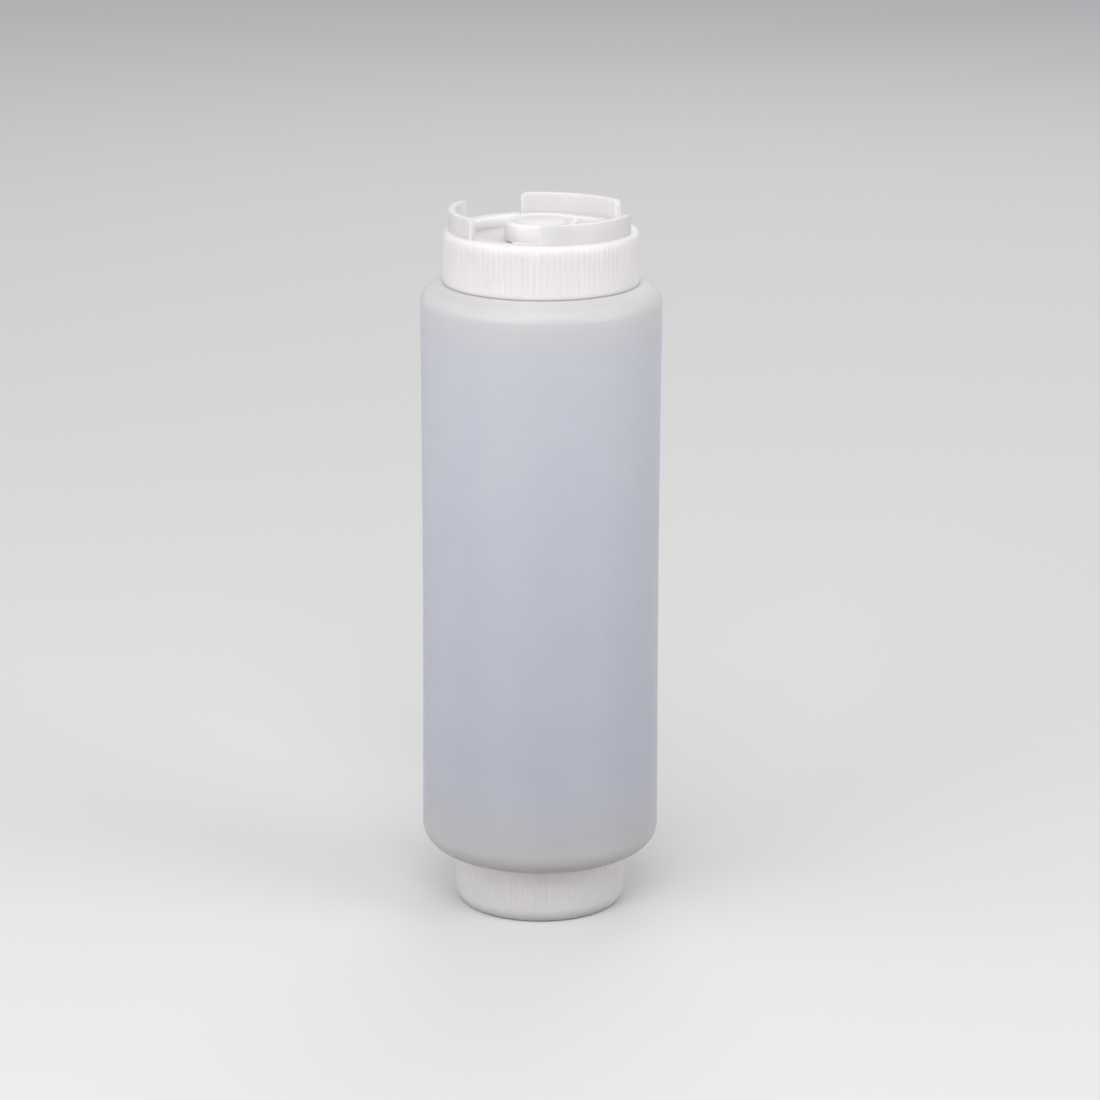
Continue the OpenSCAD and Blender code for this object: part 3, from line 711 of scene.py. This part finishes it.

# The flip lid is a small moulded cap of the same milky polypropylene, in a slightly darker copy of its
# material: painted shade on the lid's up-facing top. Its two pins snap into the ears, and a ring inside it
# closes on the valve. A low lip opposite the hinge takes a fingertip.
lid_low, lid_high = (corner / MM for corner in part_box("flip_lid"))
lid_r = 10.5
lid_z = lid_low.z
lid_top_z = lid_high.z
lid_wall = 1.2
lid_under_z = lid_top_z - lid_wall
lid_ring_r = open_r - 0.15
lid_ring_z = membrane_top_z + 0.1
lid_groove_r = (6.5, 7.3, 8.8, 9.5)
lid_step = 0.15
notch_w = 11
shaded_lid_polypropylene = plastic(
    "shaded_lid_polypropylene", (0.82, 0.79, 0.785), (0.79, 0.76, 0.755), 0.36, {
        "IOR": 1.49, "Subsurface Weight": 0.7, "Subsurface Radius": (1.15, 1.0, 0.95),
        "Subsurface Scale": 2.5 * MM}, streaks=200, stretch=1)
lid = turned("flip_lid_moulding", [
    (0, lid_under_z), *arc(lid_ring_r - 0.8, lid_under_z - 0.1, 0.1, 90, 0, 3),
    *arc(lid_ring_r - 0.45, lid_ring_z + 0.25, 0.25, 180, 270, 3)[:-1],
    *arc(lid_ring_r - 0.25, lid_ring_z + 0.25, 0.25, 270, 360, 4),
    *arc(lid_ring_r + 0.2, lid_under_z - 0.2, 0.2, 180, 90, 3),
    *arc(lid_r - lid_wall - 0.4, lid_under_z - 0.4, 0.4, 90, 0, 4),
    *arc(lid_r - lid_wall + 0.2, lid_z + 0.2, 0.2, 180, 270, 3),
    *arc(lid_r - 0.2, lid_z + 0.2, 0.2, 270, 360, 3),
    *arc(lid_r - 0.6, lid_top_z - 0.6, 0.6, 0, 90, 6),
    *arc(lid_groove_r[3], lid_top_z - lid_step, lid_step, 90, 140, 2),
    *arc(lid_groove_r[2], lid_top_z - 0.35, lid_step, 320, 270, 2),
    *arc(lid_groove_r[1], lid_top_z - 0.35, lid_step, 270, 220, 2),
    *arc(lid_groove_r[0], lid_top_z - 0.25, lid_step, 40, 90, 2),
    (0, lid_top_z - 0.1)], 240, shaded_lid_polypropylene)
notch = prism("notch", [(lid_r - lid_wall - 4, lid_z - 1), (lid_r + 3, lid_z - 1), (lid_r + 3, recess_z + 1),
                        (lid_r - lid_wall - 4, recess_z + 1)], notch_w, hinge_turn, 0, shaded_lid_polypropylene)
combine(lid, notch, "DIFFERENCE")

lip_out = 1.6
lip_t = 0.8
lip_half = math.radians(22)
lip_steps = 24
lip = bmesh.new()
lip_rings = []
for i in range(lip_steps + 1):
    angle = hinge_turn + math.pi + lip_half * (i / (lip_steps / 2) - 1)
    corners = ((lid_r - 0.6, lid_z), (lid_r + lip_out, lid_z), (lid_r + lip_out, lid_z + lip_t),
               (lid_r - 0.6, lid_z + lip_t))
    lip_rings.append([lip.verts.new(at_turn(r, z, angle)) for r, z in corners])
for first, second in zip(lip_rings, lip_rings[1:]):
    for i in range(4):
        lip.faces.new((first[i - 1], first[i], second[i], second[i - 1]))
lip.faces.new(lip_rings[0])
lip.faces.new(lip_rings[-1])
combine(lid, bevelled(new_piece("lip", lip, shaded_lid_polypropylene), 0.25), "UNION")

tongue = prism("tongue", [(lid_r - 0.5, hinge_z - 0.9), (hinge_reach, hinge_z - 0.9),
                          (hinge_reach, hinge_z + 1.3), (lid_r - 0.5, hinge_z + 1.3)],
               barrel_w, hinge_turn, 0, shaded_lid_polypropylene)
combine(lid, bevelled(tongue, 0.15), "UNION")
barrel = prism("barrel", circle(hinge_reach, hinge_z, barrel_r), barrel_w, hinge_turn, 0, shaded_lid_polypropylene)
combine(lid, bevelled(barrel, 0.12), "UNION")
pins = prism("pins", circle(hinge_reach, hinge_z, pivot_r), barrel_w + 2 * (ear_gap + ear_t), hinge_turn, 0,
             shaded_lid_polypropylene)
combine(lid, bevelled(pins, 0.12), "UNION")
finish(lid, "flip_lid", "lid_plastic", "flip_lid")

# The refill seal is a disc punched from the same foam. It lies in the refill cap, and the lower neck's rim
# presses on it.
disc_low, disc_high = (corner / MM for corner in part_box("refill_seal"))
sealing_disc = turned("sealing_disc", [
    (0, disc_low.z), *arc(disc_high.x - seal_edge, disc_low.z + seal_edge, seal_edge, 270, 360, 3),
    *arc(disc_high.x - seal_edge, disc_high.z - seal_edge, seal_edge, 0, 90, 3), (0, disc_high.z)],
    192, seal_foam)
finish(sealing_disc, "refill_seal", "seal_foam", "refill_seal")

# The refill cap is the foot: a shallow screw cap of milky polypropylene with fine ribs and a big soft
# corner. Its underside is hollowed, so that it rests on a ring, with the gate's mark in the middle.
foot_r = foot_high.x
foot_low_r = foot_r - 0.5
foot_top_z = foot_high.z
foot_corner_r = 3
foot_corner_h = 4.6
foot_wall = 1.7
foot_end = 1.6
foot_recess_r = 19
foot_recess = 0.4
gate_r = 1.5
gate_slope = 0.3
gate_t = 0.15
foot_rib_low = foot_corner_h + 0.3
foot_rib_high = foot_top_z - 1.8


def foot_side(z):
    """The foot's outer radius, which widens a little towards its open end."""
    return foot_low_r + (foot_r - foot_low_r) * (z - foot_corner_h) / (foot_top_z - foot_corner_h)


foot_corner = [(foot_low_r - foot_corner_r * (1 - math.sin(a)), foot_corner_h * (1 - math.cos(a)))
               for a in (math.radians(90 * i / 14) for i in range(15))]
foot_polypropylene = plastic(
    "foot_polypropylene", (0.82, 0.795, 0.79), (0.795, 0.77, 0.765), 0.4, {
        "IOR": 1.49, "Subsurface Weight": 1, "Subsurface Radius": (1.05, 1.0, 1.0),
        "Subsurface Scale": 3 * MM}, streaks=140, stretch=6, scuffs=0.5)
# Painted light: the foot's top band, which lies in the body's shade, is painted lighter and warmer than its
# lower part.
paint_light_and_shade_by_height(foot_polypropylene, [
    (0, (0.84, 0.84, 0.85)), (13, (0.84, 0.84, 0.85)), (15.5, (1, 0.99, 0.97)), (18, (1, 0.99, 0.97))])
refill_cap = turned("refill_cap_moulding", [
    (0, foot_recess - gate_t), (gate_r - gate_slope, foot_recess - gate_t), (gate_r, foot_recess),
    *arc(foot_recess_r - 0.2, foot_recess - 0.2, 0.2, 90, 0, 3), (foot_recess_r + 0.2, 0),
    *foot_corner,
    *[(foot_side(z), z) for z in (foot_rib_low + (foot_rib_high - foot_rib_low) * i / 6 for i in range(7))],
    (foot_side(foot_rib_high + 0.3), foot_rib_high + 0.3),
    *arc(foot_r - 0.25, foot_top_z - 0.25, 0.25, 0, 90, 4),
    *arc(foot_r - foot_wall + 0.2, foot_top_z - 0.2, 0.2, 90, 180, 3),
    *arc(foot_r - foot_wall - 0.6, foot_end + 0.6, 0.6, 0, -90, 4), (0, foot_end)],
    720, foot_polypropylene, pattern=lambda r, z: r > foot_r - 1 and foot_rib_low + 0.1 < z <= foot_rib_high,
    ribs=90.0, rib_depth=rib_depth * MM)
add_thread(refill_cap, foot_r - foot_wall, base_thread_z + thread_pitch / 2, -1)
finish(refill_cap, "refill_cap", "cap_plastic", "refill_cap", crease=60)

# The studio: a plain pale floor, five softboxes in front, to the left of that, on the left, on the right
# and behind, and the camera at the photograph's distance and angle. The floor shows its pale colour to the
# camera and gives a darker one back to the bottle.
floor_size = 6.0
floor_builder = bmesh.new()
bmesh.ops.create_grid(floor_builder, x_segments=1, y_segments=1, size=floor_size / 2)
floor_material = bpy.data.materials.new("studio_floor")
floor_material.use_nodes = True
floor_nodes = floor_material.node_tree
floor_shader = floor_nodes.nodes["Principled BSDF"]
floor_shader.inputs["Roughness"].default_value = 0.8
floor_shader.inputs["Specular IOR Level"].default_value = 0.1
light_path = floor_nodes.nodes.new("ShaderNodeLightPath").outputs
seen = calc(floor_nodes, "MAXIMUM", light_path["Is Camera Ray"],
            calc(floor_nodes, "MAXIMUM", light_path["Is Glossy Ray"], light_path["Is Transmission Ray"]))
floor_colour = add_node(floor_nodes, "ShaderNodeMix", {
    0: seen, 6: (0.4, 0.39, 0.38, 1), 7: (0.74, 0.74, 0.74, 1)}, data_type="RGBA")
floor_nodes.links.new(floor_colour.outputs[2], floor_shader.inputs["Base Color"])
floor = new_piece("studio_floor", floor_builder, floor_material)

world = bpy.data.worlds.new("studio")
bpy.context.scene.world = world
world.use_nodes = True
room = world.node_tree.nodes["Background"]
room.inputs["Color"].default_value = (0.97, 0.98, 1.0, 1)
room.inputs["Strength"].default_value = 0.5


lamp_colour = (1.0, 0.99, 0.985)
bottle_middle = Vector((0, 0, 0.11))


def softbox(name, place, size, power):
    """A square area light that faces the middle of the bottle."""
    data = bpy.data.lights.new(name, "AREA")
    data.size = size
    data.energy = power
    data.color = lamp_colour
    lamp = bpy.data.objects.new(name, data)
    lamp.location = place
    lamp.rotation_euler = (bottle_middle - Vector(place)).to_track_quat("-Z", "Y").to_euler()
    bpy.context.scene.collection.objects.link(lamp)


softbox("front_light", (0, -0.9, 1.0), 0.6, 5.1)
softbox("left_front_light", (-1.1, -1.2, 0.7), 1.0, 10.6)
softbox("left_light", (-1.4, -0.3, 0.8), 1.0, 3.6)
softbox("right_light", (1.4, -0.7, 0.7), 1.0, 10.2)
softbox("back_light", (0.2, 1.3, 1.2), 1.0, 5)

camera_pitch = 0.27048046
camera_yaw = 0.0024383061
camera_roll = 0.0028074247
camera_place = (0, -1.1243034, 0.4192502)
camera_data = bpy.data.cameras.new("camera")
camera_data.sensor_width = 36
camera_data.lens = 130
camera_data.clip_start = 0.01
camera = bpy.data.objects.new("camera", camera_data)
camera.matrix_world = (
    Matrix.Translation(camera_place) @ Matrix.Rotation(-camera_yaw, 4, "Z")
    @ Matrix.Rotation(math.pi / 2 - camera_pitch, 4, "X") @ Matrix.Rotation(camera_roll, 4, "Z"))
bpy.context.scene.collection.objects.link(camera)
bpy.context.scene.camera = camera
bpy.context.scene.view_settings.view_transform = "Standard"
